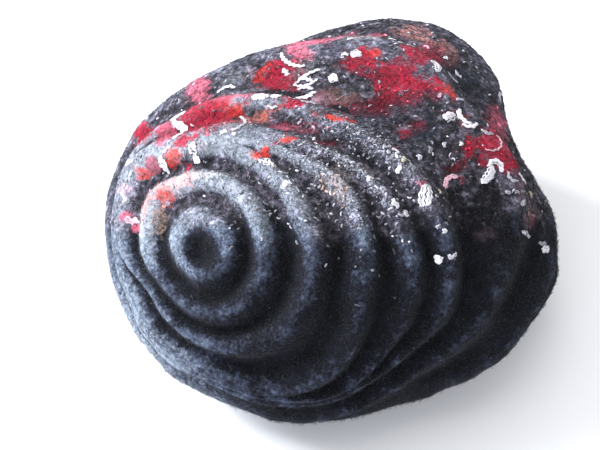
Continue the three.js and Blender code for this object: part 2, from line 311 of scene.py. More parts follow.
# Tufts of dyed wool are laid on the charcoal felt before it is rubbed, so their edges are ragged. The
# near-black ones are painted shade.
DYES = {"red": "#b31a37", "orange": "#e8402c", "pink": "#dd7188", "wine": "#6d1526",
        "tan": "#a48a7c", "cream": "#d8d0cf", "peach": "#dc9a94", "mauve": "#7f6977",
        "ash": "#8b8f96", "slate": "#363d4a", "blush": "#e6b3c4", "painted_shade": "#0c0d11"}
TUFTS = [  # around and angle (degrees), long and wide (mm), turn (degrees), dye, share that covers
    # The near-black tufts paint shade into the folds up and to the right of the dimple.
    (59, 58, 42, 25, 63, "painted_shade", 0.95), (63, 53, 17, 11, 60, "painted_shade", 0.9),
    (52, 66, 30, 23, 86, "painted_shade", 0.9), (51, 44, 11, 6, -86, "painted_shade", 0.8),
    (135, 43, 20, 18, -45, "ash", 0.7), (102, 41, 15, 8, -32, "blush", 0.8),
    (110, 60, 26, 14, -43, "cream", 0.7), (116, 29, 23, 11, -65, "ash", 0.7),
    (121, 23, 30, 8, -84, "ash", 0.6), (115, 46, 19, 11, -20, "ash", 0.7),
    (88, 51, 28, 17, -14, "slate", 0.7), (82, 51, 18, 12, -50, "slate", 0.7),
    (112, 53, 19, 15, -37, "slate", 0.7), (89, 44, 24, 9, -30, "slate", 0.7),
    (97, 72, 25, 20, -86, "slate", 0.8), (90, 74, 33, 30, 88, "slate", 0.7),
    (120, 37, 18, 12, -49, "slate", 0.7), (135, 34, 24, 10, -71, "slate", 0.5),
    (164, 26, 14, 11, -67, "ash", 0.6), (107, 30, 21, 9, -56, "slate", 0.6),
    (128, 62, 24, 12, -50, "ash", 0.7), (115, 61, 27, 16, -45, "pink", 0.6),
    (128, 60, 22, 14, -42, "red", 0.8), (101, 68, 21, 12, -28, "pink", 0.7),
    (140, 31, 40, 24, -85, "red", 0.9), (161, 34, 12, 14, -72, "red", 0.8),
    (110, 38, 37, 14, -42, "pink", 0.45), (96, 43, 42, 15, -43, "wine", 0.5),
    (88, 35, 24, 6, -43, "wine", 0.5), (92, 53, 32, 27, 4, "red", 0.7),
    (99, 64, 35, 20, -4, "red", 0.7), (121, 44, 25, 25, -52, "red", 0.7),
    (104, 52, 19, 22, -36, "red", 0.7), (73, 63, 36, 26, -51, "red", 0.8),
    (113, 31, 37, 9, -63, "orange", 0.45), (93, 38, 26, 6, -49, "orange", 0.5),
    (96, 34, 24, 8, -54, "pink", 0.45), (61, 73, 19, 16, -54, "mauve", 0.7),
    (150, 17.5, 22, 7, 88, "peach", 0.5), (186, 30, 18, 8, 20, "blush", 0.5),
    (165, 19, 13, 6, 81, "peach", 0.7), (180, 18.8, 15, 6, -65, "peach", 0.8),
    (194, 17.5, 15, 4, -68, "cream", 0.6), (181, 14.6, 24, 10, -58, "tan", 0.6),
    (169, 42.5, 14, 20, -67, "red", 1.0), (153, 29, 11, 14, -82, "pink", 0.9),
    (173, 26.8, 11, 8, 27, "orange", 0.75), (165, 25.3, 9, 8, 74, "red", 0.7),
    (151, 22.9, 14, 11, 75, "orange", 0.75), (145, 20.6, 7, 6, 61, "red", 0.9),
    (168, 16.6, 15, 13, 70, "orange", 0.75), (196, 27.5, 7, 9, -82, "pink", 0.8),
    (183, 38.5, 5, 12, -83, "red", 0.8), (132, 28.4, 22, 12, -74, "red", 0.9),
    (104, 36, 9, 9, -37, "red", 0.9), (103, 31.6, 13, 6, -72, "pink", 0.6),
    (144, 25.6, 9, 8, 85, "red", 0.8), (132, 34.5, 19, 7, -74, "red", 0.8),
    (118, 27.8, 10, 7, -87, "ash", 0.6), (106, 50, 15, 12, -39, "wine", 0.8),
    (97, 57, 22, 16, -3, "wine", 0.5), (93, 47, 17, 10, -20, "wine", 0.8),
    (96, 66, 11, 13, -58, "red", 0.8), (103, 42, 16, 8, -37, "wine", 0.7),
    (77, 64, 14, 15, -79, "red", 0.7), (70, 63, 12, 8, -77, "red", 0.9),
    (71, 52, 10, 5, -25, "wine", 0.8), (81, 48, 14, 8, -43, "slate", 0.7),
    (88, 57, 20, 12, -20, "wine", 0.6), (99, 50, 16, 10, -50, "slate", 0.6),
    (91, 50, 12, 9, 30, "wine", 0.7), (80, 43, 13, 5, -11, "wine", 0.6),
    (84, 62, 12, 12, -61, "slate", 0.7), (65, 66, 17, 16, -63, "mauve", 0.6),
    (132, 29, 34, 29, -75, "red", 1.0), (123, 32, 17, 11, -64, "orange", 0.5),
    (124, 34, 24, 7, -73, "pink", 0.8), (152, 29, 20, 15, 50, "pink", 0.7),
    (144, 25, 14, 8, 70, "red", 0.8), (169, 37, 26, 13, 30, "red", 1.0),
    (146, 43, 34, 16, 37, "pink", 0.9), (164, 25, 9, 6, 17, "pink", 0.6),
    (200, 24, 8, 5, 0, "pink", 0.8), (118, 43, 32, 21, 36, "red", 1.0),
    (119, 51, 16, 14, 45, "pink", 0.7), (119, 58, 46, 24, -35, "pink", 0.9),
    (104, 52, 20, 19, -36, "red", 0.9), (103, 55, 8, 7, 40, "orange", 0.9),
    (95, 53, 29, 26, 0, "red", 1.0), (99, 64, 38, 17, 10, "red", 1.0),
    (95, 42, 44, 10, -44, "wine", 0.7), (91, 46, 20, 14, -27, "wine", 0.8),
    (103, 37, 14, 11, -50, "red", 1.0), (92, 38, 9, 5, -50, "orange", 0.9),
    (90, 40, 9, 4, -38, "orange", 0.8), (96, 30, 14, 5, -36, "orange", 0.9),
    (98, 28, 7, 4, -56, "red", 0.9), (100, 24.8, 12, 8, -50, "orange", 1.0),
    (103, 32, 14, 6, -48, "wine", 0.8), (121, 32, 10, 8, 10, "orange", 0.6),
    (83, 46, 12, 7, 0, "red", 0.8), (83, 50, 10, 6, 0, "red", 0.8),
    (126, 46, 12, 6, 8, "orange", 0.8), (126, 43, 10, 7, 14, "orange", 0.8),
    (118, 38, 10, 9, 16, "red", 0.8), (111, 65, 12, 9, -50, "pink", 0.7),
    (106, 70, 28, 22, -76, "peach", 0.7), (99, 72, 26, 15, -72, "peach", 0.7),
    (100, 43, 22, 13, -45, "tan", 0.5), (111, 32, 18, 7, -66, "tan", 0.6),
    (98, 37, 6, 6, 0, "tan", 0.7), (95, 66, 6, 4, 70, "orange", 0.8),
    (91, 61, 9, 6, 80, "red", 0.8), (89, 60, 14, 6, 34, "red", 0.9),
    (87, 62, 10, 9, 80, "orange", 0.8), (82, 59, 15, 5, -20, "red", 0.8),
    (80, 59, 9, 4, 33, "red", 0.8), (81, 76, 27, 18, 50, "pink", 0.9),
    (75, 61, 29, 11, 0, "red", 1.0), (74, 56, 9, 8, 0, "red", 1.0),
    (75, 66, 14, 14, -37, "pink", 0.7), (70, 67, 13, 11, 80, "red", 1.0),
    (74, 69, 10, 9, 0, "red", 1.0), (71, 58, 7, 7, 0, "red", 0.9),
    (71, 53, 20, 6, 26, "wine", 1.0), (68, 54, 6, 5, 68, "wine", 0.9),
    (67, 46, 8, 5, 0, "pink", 0.8), (70, 31, 21, 12, -75, "tan", 0.5),
    (73, 38, 12, 7, -54, "tan", 0.5), (74, 34, 18, 9, -76, "cream", 0.35),
    (127, 17, 32, 5, 85, "cream", 0.5), (150, 17, 22, 5, 85, "cream", 0.6),
    (143, 17, 10, 9, 0, "peach", 0.6), (94, 24, 8, 4, 83, "cream", 0.5),
    (61, 71, 14, 10, -63, "tan", 0.6), (58, 70, 14, 13, -70, "mauve", 0.8),
    (54, 60, 12, 6, 18, "mauve", 0.5), (59, 73, 10, 5, 65, "red", 0.5),
    # carried on over the far side
    (140, 62, 34, 20, 20, "red", 1.0), (150, 75, 30, 14, 60, "pink", 0.7),
    (128, 78, 36, 18, 80, "red", 0.9), (112, 88, 30, 22, 10, "wine", 0.8),
    (95, 92, 40, 18, 85, "red", 0.9), (78, 92, 24, 15, 40, "peach", 0.7),
    (104, 104, 34, 13, 80, "pink", 0.7), (66, 88, 24, 14, 80, "red", 0.8),
    (135, 95, 26, 16, 30, "orange", 0.7), (160, 58, 20, 12, 75, "tan", 0.6),
    (85, 106, 30, 12, 85, "wine", 0.8), (166, 72, 24, 12, 60, "red", 0.7)]
RAGGED = [(9, 0.35), (3.5, 0.35), (1.8, 0.3)]   # size (mm) and reach of the tufts' ragged edges
TUFT_REACH, TUFT_FADE = 1.45, 0.9   # where a tuft's cover ends, and its soft edge, in half-sizes
TUFT_DEEP = 12                   # mm off the tuft's own plane at which its reach is used up


def laid_wool(cap):
    """The dyed wool at points of the plain cap, with the painted shade of the near-black tufts. Each
    tuft is an ellipse whose cover falls from full to none with the 3x^2 - 2x^3 step round its edge,
    which two noises make ragged. Returns the mean colour of the tufts that reach a point and the
    share of the felt that they cover."""
    ragged = sum(high * lattice_noise(cap, size, int(size * 10)) for size, high in RAGGED)
    bare = np.ones(len(cap))
    weight = np.full(len(cap), 1e-6)
    mixed = 1e-6 * np.array(colour(DYES["ash"])[:3]) * np.ones((len(cap), 1))
    for around, angle, long, wide, turn, dye, share in TUFTS:
        at = np.array([float(around)]), np.array([float(angle)])
        middle = cap_point(from_dimple(at[1], at[0]))[0]
        away, left, out = (axis[0] for axis in cap_axes(at[1], at[0]))
        near = np.nonzero(np.abs(cap - middle).sum(1) < 2 * long + 10)[0]
        c, s = math.cos(math.radians(turn)), math.sin(math.radians(turn))
        d = cap[near] - middle
        reach = np.sqrt((d @ (c * away + s * left) / (long / 2)) ** 2
                        + (d @ (c * left - s * away) / (wide / 2)) ** 2
                        + (d @ out / TUFT_DEEP) ** 2)
        cover = share * soft_step((TUFT_REACH - reach + ragged[near]) / TUFT_FADE)
        bare[near] *= 1 - cover
        weight[near] += cover
        mixed[near] += cover[:, None] * np.array(colour(DYES[dye])[:3])
    return mixed / weight[:, None], 1 - bare


# How pale the wool on each crest is, from black to white, every 30 degrees round, with painted light
# in it: paler on the top and left, which face the window lamp, and darker on the right.
PALE_AND_LIT = [
    [0.18, 0.22, 0.34, 0.44, 0.52, 0.6, 0.62, 0.55, 0.45, 0.42, 0.34, 0.2],
    [0.08, 0.2, 0.58, 0.74, 0.8, 0.86, 0.88, 0.65, 0.36, 0.28, 0.24, 0.12],
    [0.05, 0.1, 0.55, 0.7, 0.75, 0.75, 0.7, 0.5, 0.4, 0.4, 0.3, 0.1],
    [0.03, 0.08, 0.5, 0.65, 0.7, 0.75, 0.75, 0.5, 0.5, 0.5, 0.42, 0.14],
    [0.02, 0.06, 0.4, 0.45, 0.6, 0.7, 0.7, 0.5, 0.55, 0.6, 0.44, 0.14],
    [0.02, 0.05, 0.25, 0.4, 0.6, 0.7, 0.7, 0.5, 0.55, 0.65, 0.42, 0.1],
    [0, 0, 0.1, 0.35, 0.4, 0.4, 0.4, 0.45, 0.6, 0.7, 0.4, 0.04],
    [0, 0, 0.1, 0.25, 0.3, 0.3, 0.3, 0.35, 0.5, 0.6, 0.35, 0.04],
    [0, 0, 0.1, 0.1, 0.1, 0.1, 0.1, 0.05, 0.1, 0.15, 0.08, 0]]
LEAST_REACH = NARROW / 2.4       # degrees, so that crests close together have no dark line
# Straight below the dimple the grooves are lightened too, as painted light, from one angle to another.
LIT_BELOW, BELOW_START, BELOW_END = 0.52, (20, 6), (60, 10)   # share, and degree and fade


def pale_and_lit_crests(angle, around):
    """How pale a place is, painted light included: the most that any crest gives it, each falling to
    black with the
    3x^2 - 2x^3 step toward the grooves on either side, or the painted light below the dimple."""
    crests, share = turn_after(np.zeros(len(angle), int), around)[0], 0
    for k, values in enumerate(PALE_AND_LIT):
        before = np.maximum((crests[k + 1] - crests[k]) / 2, LEAST_REACH)
        after = np.maximum((crests[k + 2] - crests[k + 1]) / 2, LEAST_REACH)
        off = angle - crests[k + 1]
        near = np.clip(1 - np.abs(off) / np.where(off < 0, before, after), 0, 1)
        share = np.maximum(share, round_curve(values, around) * soft_step(near * 1.4))
    below = soft_step((-np.sin(np.radians(around)) - 0.5) * 2)
    begun = soft_step((angle - BELOW_START[0]) / BELOW_START[1])
    not_ended = soft_step((BELOW_END[0] - angle) / BELOW_END[1])
    return np.maximum(share, LIT_BELOW * below * begun * not_ended)


# The far half of the crown has finer odd wool worked in all over, up to a ragged line.
LINE_TILT, LINE_MIDDLE, LINE_SOFT = 35, (0, 84), 8   # degrees, mm back and up, mm
LINE_WANDER = (22, 14)           # size and reach of the line's wandering, mm


def worked_half(p):
    """1 on the far half of the crown, 0 on the near half, by the distance from a tilted plane
    that noise of a given size and reach makes wander."""
    tilt = math.radians(LINE_TILT)
    rise = (p[:, 1] - LINE_MIDDLE[0]) * math.cos(tilt) + (p[:, 2] - LINE_MIDDLE[1]) * math.sin(tilt)
    rise = rise + LINE_WANDER[1] * lattice_noise(p, LINE_WANDER[0], 9)
    return soft_step(rise / LINE_SOFT / 2 + 0.5)


flat_around, flat_angle = outer_around.ravel(), outer_angle.ravel()
cap = cap_point(from_dimple(flat_angle, flat_around))
tuft_colour, tuft_cover = laid_wool(cap)
crest_height = fold(flat_angle, flat_around)[1]
worked = worked_half(cap)


def give_colours(piece, name, rgb, alpha, rest):
    """Stores a colour for each vertex, with rest plain ones at the end."""
    rgba = np.concatenate([np.column_stack([rgb, alpha]), np.zeros((rest, 4))]).astype(np.float32)
    piece.data.attributes.new(name, "FLOAT_COLOR", "POINT").data.foreach_set("color", rgba.ravel())


give_colours(felt, "laid_wool", tuft_colour, tuft_cover, ni + 2)
# How pale each place is: rubbed wool, and painted light on the crests that face the window lamp and
# below the dimple.
pale = pale_and_lit_crests(flat_angle, flat_around)
THICKEST = (74, 33, 15)          # around, angle and spread of the thickest small curls, degrees
ROUND_TO_ANGLE = 0.62            # size there of a degree round, in degrees of angle
thickly = np.exp(-((flat_around - THICKEST[0]) * ROUND_TO_ANGLE / THICKEST[2]) ** 2
                 - ((flat_angle - THICKEST[1]) / THICKEST[2]) ** 2) * (0.15 + 0.85 * crest_height)
# Red: height on the fold, which paints shade into the grooves; green: the worked half; blue: paleness,
# partly painted light; alpha: where the curls are thickest.
give_colours(felt, "relief", np.column_stack([crest_height ** 1.5, worked, pale]), thickly, ni + 2)


def add_node(tree, kind, settings=None, links=None):
    """Adds one node, sets its properties or unlinked inputs by name, and links its inputs."""
    node = tree.nodes.new(kind)
    for name, value in (settings or {}).items():
        if isinstance(name, int) or name in node.inputs:
            node.inputs[name].default_value = value
        else:
            setattr(node, name, value)
    for name, source in (links or {}).items():
        tree.links.new(source, node.inputs[name])
    return node


# Wet-felted merino, charcoal with lighter hairs. It is matt and mottled like any melange felt, a
# little lighter where the crests are rubbed, and the sheen is its nap against the light. Its colour
# also holds painted shade, dark down in the grooves and lighter on the crests, and painted light
# on the crests that face the window lamp.
MOTTLE_MM, GRAIN_MM, WORKED_MM, STREAK_MM, CLOUD_MM = 2.6, 1.3, 4.0, 3.5, 11.0
wool = bpy.data.materials.new("wet_felted_wool")
wool.use_nodes = True
tree = wool.node_tree
tree.nodes.clear()
place = add_node(tree, "ShaderNodeTexCoord").outputs["Object"]


def noise(size, detail, roughness, distortion=0.0):
    """A noise in the felt whose largest grain is size millimetres across."""
    return add_node(tree, "ShaderNodeTexNoise",
                    {"Scale": 1 / (size * MM), "Detail": detail, "Roughness": roughness,
                     "Distortion": distortion}, {"Vector": place})


def ramp(factor, stops):
    """A colour ramp over factor through stops of position and colour."""
    node = add_node(tree, "ShaderNodeValToRGB", None, {"Fac": factor})
    ends = node.color_ramp.elements[0], node.color_ramp.elements[1]
    for end, (at, tint) in zip(ends, (stops[0], stops[-1])):
        end.position, end.color = at, colour(tint)
    for at, tint in stops[1:-1]:
        node.color_ramp.elements.new(at).color = colour(tint)
    return node


mottle = noise(MOTTLE_MM, 4.0, 0.7)
grain = noise(GRAIN_MM, 2.0, 0.6)
patches = noise(WORKED_MM, 4.0, 0.65)
clouds = noise(CLOUD_MM, 2.0, 0.6)
relief = add_node(tree, "ShaderNodeAttribute", {"attribute_name": "relief"})
channels = add_node(tree, "ShaderNodeSeparateColor", None, {"Color": relief.outputs["Color"]})
softer = add_node(tree, "ShaderNodeMapRange", {"To Min": 0.22, "To Max": 0.78},
                  {"Value": mottle.outputs["Fac"]})
# The height on the fold darkens the grooves and lightens the crests: painted shade.
risen = add_node(tree, "ShaderNodeMath", {"operation": "MULTIPLY_ADD", 1: 0.18},
                 {0: channels.outputs["Red"], 2: softer.outputs[0]})
cloudy = add_node(tree, "ShaderNodeMath", {"operation": "MULTIPLY_ADD", 1: 0.5},
                  {0: clouds.outputs["Fac"], 2: risen.outputs[0]})
# The paleness adds rubbed wool on the crests, with painted light where they face the window lamp.
lightness = add_node(tree, "ShaderNodeMath", {"operation": "MULTIPLY_ADD", 1: 0.55},
                     {0: channels.outputs["Blue"], 2: cloudy.outputs[0]})
lighter = add_node(tree, "ShaderNodeMath", {"operation": "SUBTRACT", 1: 0.25},
                   {0: lightness.outputs[0]})
charcoal = ramp(lighter.outputs[0],
                [(0.45, "#07080a"), (0.68, "#15161e"), (0.82, "#3d4353"), (1.0, "#687484")])
shade = add_node(tree, "ShaderNodeMapRange", {"To Min": 0.5}, {"Value": channels.outputs["Red"]})

# The odd wool of the far half: dark grey, brown grey, dull mauve and near white in small blotches.
blotch = ramp(patches.outputs["Fac"],
              [(0.3, "#191c20"), (0.42, "#3b4149"), (0.5, "#5a5158"), (0.58, "#807a8e"),
               (0.72, "#c4c4cc")])
uneven = add_node(tree, "ShaderNodeMapRange", {"From Min": 0.35, "From Max": 0.65, "To Min": 0.35,
                                               "To Max": 1.5}, {"Value": clouds.outputs["Fac"]})
# The blotches are dimmed in the grooves as painted shade, and unevenly in large clouds.
dimmer = add_node(tree, "ShaderNodeMath", {"operation": "MULTIPLY"},
                  {0: shade.outputs[0], 1: uneven.outputs[0]})
shaded = add_node(tree, "ShaderNodeVectorMath", {"operation": "SCALE"},
                  {0: blotch.outputs["Color"], "Scale": dimmer.outputs[0]})
half = add_node(tree, "ShaderNodeMath", {"operation": "MULTIPLY", 1: 0.75},
                {0: channels.outputs["Green"]})
base = add_node(tree, "ShaderNodeMix", {"data_type": "RGBA"},
                {"Factor": half.outputs[0], 6: charcoal.outputs["Color"], 7: shaded.outputs[0]})

# Loose white wool rubbed on to the crests lies in wisps. It follows the paleness, so it is partly
# painted highlight on the crests that face the window lamp.
wisp_and_highlight = add_node(tree, "ShaderNodeMath", {"operation": "ADD"},
                {0: channels.outputs["Blue"], 1: mottle.outputs["Fac"]})
frost_and_highlight = add_node(tree, "ShaderNodeMapRange", {"From Min": 0.9, "From Max": 1.45, "To Max": 0.9},
                 {"Value": wisp_and_highlight.outputs[0]})
frosted_and_highlit = add_node(tree, "ShaderNodeMix", {"data_type": "RGBA", 7: colour("#a0a8b0")},
                   {"Factor": frost_and_highlight.outputs[0], 6: base.outputs[2]})

# Where the small curls are thickest, more of them show as flecks, sunk level with the felt.
fleck = add_node(tree, "ShaderNodeMath", {"operation": "MULTIPLY_ADD", 1: 0.3},
                 {0: relief.outputs["Alpha"], 2: grain.outputs["Fac"]})
flecks = add_node(tree, "ShaderNodeMapRange", {"From Min": 0.74, "From Max": 0.86, "To Max": 0.8},
                  {"Value": fleck.outputs[0]})
flecked = add_node(tree, "ShaderNodeMix", {"data_type": "RGBA", 7: colour("#cfd1da")},
                   {"Factor": flecks.outputs[0], 6: frosted_and_highlit.outputs[2]})

# The dyed wool over it, in streaks, and darker down in the folds as painted shade.
laid = add_node(tree, "ShaderNodeAttribute", {"attribute_name": "laid_wool"})
streaks = noise(STREAK_MM, 5.0, 0.75, 1.2)
spread = add_node(tree, "ShaderNodeMapRange", {"From Min": 0.3, "From Max": 0.7, "To Max": 0.8},
                  {"Value": streaks.outputs["Fac"]})
wisps = add_node(tree, "ShaderNodeMath", {"operation": "MULTIPLY_ADD", 1: 1.1},
                 {0: laid.outputs["Alpha"], 2: spread.outputs[0]})
shown = add_node(tree, "ShaderNodeMapRange", {"From Min": 0.7, "From Max": 1.4, "To Max": 0.9},
                 {"Value": wisps.outputs[0]})
deep = add_node(tree, "ShaderNodeMapRange", {"From Min": 0.3, "From Max": 0.7, "To Min": 0.3,
                                             "To Max": 1.3}, {"Value": streaks.outputs["Fac"]})
fold_shade = add_node(tree, "ShaderNodeMapRange", {"To Min": 0.6}, {"Value": channels.outputs["Red"]})
both = add_node(tree, "ShaderNodeMath", {"operation": "MULTIPLY"},
                {0: deep.outputs[0], 1: fold_shade.outputs[0]})
dyed = add_node(tree, "ShaderNodeVectorMath", {"operation": "SCALE"},
                {0: laid.outputs["Color"], "Scale": both.outputs[0]})
finished = add_node(tree, "ShaderNodeMix", {"data_type": "RGBA"},
                    {"Factor": shown.outputs[0], 6: flecked.outputs[2], 7: dyed.outputs[0]})
rough = add_node(tree, "ShaderNodeMath", {"operation": "ADD"},
                 {0: mottle.outputs["Fac"], 1: grain.outputs["Fac"]})
bump = add_node(tree, "ShaderNodeBump", {"Strength": 0.7, "Distance": 0.0009},
                {"Height": rough.outputs[0]})
skin = add_node(tree, "ShaderNodeBsdfPrincipled",
                {"Roughness": 0.95, "Specular IOR Level": 0.08, "Sheen Weight": 0.09,
                 "Sheen Roughness": 0.5, "Sheen Tint": colour("#c9cede")},
                {"Base Color": finished.outputs[2], "Normal": bump.outputs["Normal"]})
add_node(tree, "ShaderNodeOutputMaterial", None, {"Surface": skin.outputs["BSDF"]})
felt.data.materials.append(wool)


# The nap
# Fine hairs of the same wool stand out of the felt all over. Most lie almost flat along it, and a
# few stray up, so each is a thin spindle that is rooted in the felt at one end.

HAIRS, NAP_PIECES = 30000, 3
HAIR_LONG, HAIR_THICK, HAIR_LIFT = (2.5, 6.5), 0.11, 0.45   # mm
STRAYS, STRAY_LIFT = 0.14, (0.5, 2.2)   # share of the hairs that stray up, and how far, mm
HAIR_POINTS, HAIR_SIDES = 3, 3
ROOT_DEEP, TIP_DEEP = 0.15, 0.1  # mm below the face
GROOVE_SHADE, CREST_SHADE_LIFT = 0.03, 0.1   # tone of a hair in a groove, dimmed as painted shade, and how much lighter on a crest
HAIR_TONES = ["#17191d", "#2f333b", "#4c525d", "#8a8f9b"]
HAIR_SHARES = [0.45, 0.33, 0.17, 0.05]
random = np.random.default_rng(11)


def tubes(paths, radii, outs, sides):
    """Closed tubes along paths (tube, point, xyz): a ring of the given sides round each inner
    point, level with out, and a pole at either end. Returns the points and the faces."""
    count, length = paths.shape[:2]
    along = unit(np.gradient(paths, axis=1))
    side = unit(np.cross(outs, along))
    over = np.cross(along, side)
    turn = np.arange(sides) * 2 * np.pi / sides
    rings = paths[:, 1:-1, None] + radii[:, 1:-1, None, None] * (
        side[:, 1:-1, None] * np.cos(turn)[:, None] + over[:, 1:-1, None] * np.sin(turn)[:, None])
    each = (length - 2) * sides + 2
    points = np.concatenate([rings.reshape(count, -1, 3), paths[:, :1], paths[:, -1:]], 1)
    j = np.arange(sides)
    k = (j + 1) % sides
    start, end, last = each - 2, each - 1, (length - 3) * sides
    caps = np.concatenate([np.stack([np.full(sides, start), k, j], -1),
                           np.stack([np.full(sides, end), last + j, last + k], -1)])
    first = (np.arange(count) * each)[:, None, None]
    faces = [(caps + first).reshape(-1, 3)]
    if length > 3:
        faces.append((quads(length - 2, sides, 0, True) + first).reshape(-1, 4))
    return points.reshape(-1, 3), faces


def spots_on(count):
    """Random spots on the outer face, spread evenly by area: the grid's row and column, the
    point and the unit vectors away from the dimple, round it and out."""
    p = np.concatenate([outer, outer[:, :1]], 1)
    down, across = p[1:, :-1] - p[:-1, :-1], p[:-1, 1:] - p[:-1, :-1]
    area = np.linalg.norm(np.cross(down, across), axis=-1).ravel()
    cell = random.choice(area.size, count, p=area / area.sum())
    row, column = np.divmod(cell, COLUMNS)
    u, v = random.random((2, count, 1))
    corner = p[row, column]
    spot = (corner * (1 - u) * (1 - v) + p[row + 1, column] * u * (1 - v)
            + p[row, column + 1] * (1 - u) * v + p[row + 1, column + 1] * u * v)
    away = unit(down[row, column])
    out = unit(np.cross(down[row, column], across[row, column]))
    return row, column, spot, away, np.cross(out, away), out


def fibre_material(name, surface):
    """Loose wool, each fibre in its own tone, with the given settings of its surface."""
    material = bpy.data.materials.new(name)
    material.use_nodes = True
    tree = material.node_tree
    tree.nodes.clear()
    tone = add_node(tree, "ShaderNodeAttribute", {"attribute_name": "tone"})
    skin = add_node(tree, "ShaderNodeBsdfPrincipled", surface,
                    {"Base Color": tone.outputs["Color"]})
    add_node(tree, "ShaderNodeOutputMaterial", None, {"Surface": skin.outputs["BSDF"]})
    return material


def give_tones(piece, tones):
    """Stores one tone for all the points of each fibre, the same number of points a fibre."""
    each = len(piece.data.vertices) // len(tones)
    give_colours(piece, "tone", np.repeat(tones, each, 0), np.ones(len(tones) * each), 0)


hair = fibre_material("loose_wool_hair", {"Roughness": 0.85, "Specular IOR Level": 0.12,
                                          "Sheen Weight": 0.12, "Sheen Roughness": 0.5})
hair_tones = np.array([colour(tone)[:3] for tone in HAIR_TONES])

for number in range(NAP_PIECES):
    row, column, root, away, left, out = spots_on(HAIRS)
    heading = random.random((HAIRS, 1)) * 2 * np.pi
    lie = away * np.cos(heading) + left * np.sin(heading)
    long = random.uniform(*HAIR_LONG, (HAIRS, 1))
    stray = random.random((HAIRS, 1)) < STRAYS
    lift = np.where(stray, random.uniform(*STRAY_LIFT, (HAIRS, 1)), 0)
    bend = np.cross(out, lie) * random.normal(0, 0.12, (HAIRS, 1)) * long
    arch = HAIR_LIFT * random.random((HAIRS, 1)) + lift * 0.4
    middle = root + lie * long * 0.5 + bend + out * arch
    tip = root + lie * long * np.where(stray, 0.85, 1) + out * (lift - TIP_DEEP)
    paths = np.stack([root - out * ROOT_DEEP, middle, tip], 1)
    paths[..., 2] = paths[..., 2].clip(2 * HAIR_THICK)   # no hair of the rim reaches the floor
    radii = np.full((HAIRS, HAIR_POINTS), HAIR_THICK) * random.uniform(0.7, 1.2, (HAIRS, 1))
    points, faces = tubes(paths, radii, np.repeat(out[:, None], HAIR_POINTS, 1), HAIR_SIDES)
    piece = make_object("nap_%d" % (number + 1), into_box(points), faces)
    here = row * COLUMNS + column
    # Lighter hairs are picked more often on crests and pale places, and every tone is dimmed toward
    # the grooves as painted shade and lifted where the paleness holds painted light.
    pick = random.random(HAIRS) ** (1 / (0.5 + 0.5 * crest_height[here] + 1.6 * pale[here]))
    kind = np.searchsorted(np.cumsum(HAIR_SHARES), pick).clip(0, len(HAIR_TONES) - 1)
    dyed = random.random(HAIRS) < 0.85 * tuft_cover[here]
    tones = np.where(dyed[:, None], tuft_colour[here] * random.uniform(0.5, 1.5, (HAIRS, 1)),
                     hair_tones[kind])
    tones = tones * (GROOVE_SHADE + CREST_SHADE_LIFT * crest_height[here, None] + pale[here, None])
    give_tones(piece, tones.clip(0, 1))
    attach(piece, "root")
    piece.data.materials.append(hair)


# The white locks
# Washed curly locks of white and grey fleece lie on the far half of the crown. Each is a few
# crimped strands side by side, sunk part way into the felt, where the rubbing has caught them.

